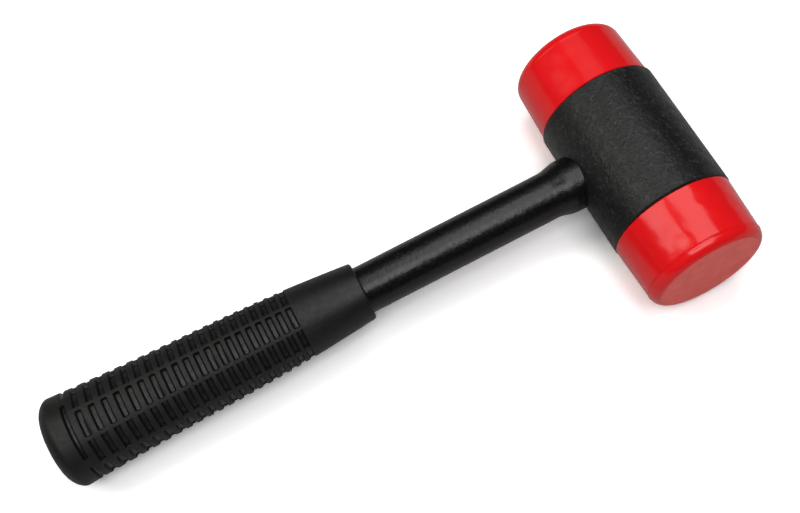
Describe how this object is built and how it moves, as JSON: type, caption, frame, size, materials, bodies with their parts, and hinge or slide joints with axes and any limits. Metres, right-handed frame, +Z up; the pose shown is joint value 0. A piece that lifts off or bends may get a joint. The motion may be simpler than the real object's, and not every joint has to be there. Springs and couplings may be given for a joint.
{
  "type": "soft face hammer",
  "caption": "Soft-face hammer: a shot-filled drum head with screw-in plastic faces, a flared tubular steel handle and a pocketed rubber grip.",
  "frame": {"origin": "under the middle of the hammer's box, on the surface that it lies on", "axes": "+Z up; the handle runs towards -X; the head's axis lies along Y with the front face towards -Y"},
  "size_m": [0.2812, 0.112, 0.052],
  "materials": {
    "drum_paint": "matt black textured coating",
    "handle_paint": "satin black paint",
    "face_plastic": "glossy red moulding, matt on the striking face",
    "grip_rubber": "black moulded rubber",
    "plain_steel": "plain machined steel",
    "plated_steel": "bright zinc plate",
    "cap_plastic": "black moulded plastic"
  },
  "bodies": {
    "hammer": {"drum_shell": "drum_paint", "end_plug_front": "plain_steel", "end_plug_rear": "plain_steel", "handle_tube": "handle_paint", "neck_spigot": "plain_steel", "saddle_washer": "plain_steel", "spigot_nut": "plated_steel", "tube_cap": "cap_plastic", "grip_sleeve": "grip_rubber"},
    "front_washer": {"lock_washer_front": "plated_steel"},
    "front_face": {"face_front": "face_plastic", "face_stud_front": "plated_steel"},
    "rear_washer": {"lock_washer_rear": "plated_steel"},
    "rear_face": {"face_rear": "face_plastic", "face_stud_rear": "plated_steel"},
    "shot": {"steel_shot": "plain_steel"}
  },
  "joints": [
    {"name": "front_face_advance", "type": "slide", "parent": "hammer", "child": "front_washer", "axis": [0, -1, 0], "range_m": [0, 0.0105]},
    {"name": "front_face_turn", "type": "hinge", "parent": "front_washer", "child": "front_face", "pos_m": [0.11456, -0.02895, 0.026], "axis": [0, -1, 0], "range_deg": [0, 2160]},
    {"name": "rear_face_advance", "type": "slide", "parent": "hammer", "child": "rear_washer", "axis": [0, 1, 0], "range_m": [0, 0.0105]},
    {"name": "rear_face_turn", "type": "hinge", "parent": "rear_washer", "child": "rear_face", "pos_m": [0.11456, 0.02895, 0.026], "axis": [0, 1, 0], "range_deg": [0, 2160]},
    {"name": "shot_shift", "type": "slide", "parent": "hammer", "child": "shot", "axis": [0, 1, 0], "range_m": [-0.004, 0.004]}
  ],
  "couplings": [
    {"joint": "front_face_advance", "follows": "front_face_turn", "m_per_rad": 0.00027852},
    {"joint": "rear_face_advance", "follows": "rear_face_turn", "m_per_rad": 0.00027852}
  ]
}
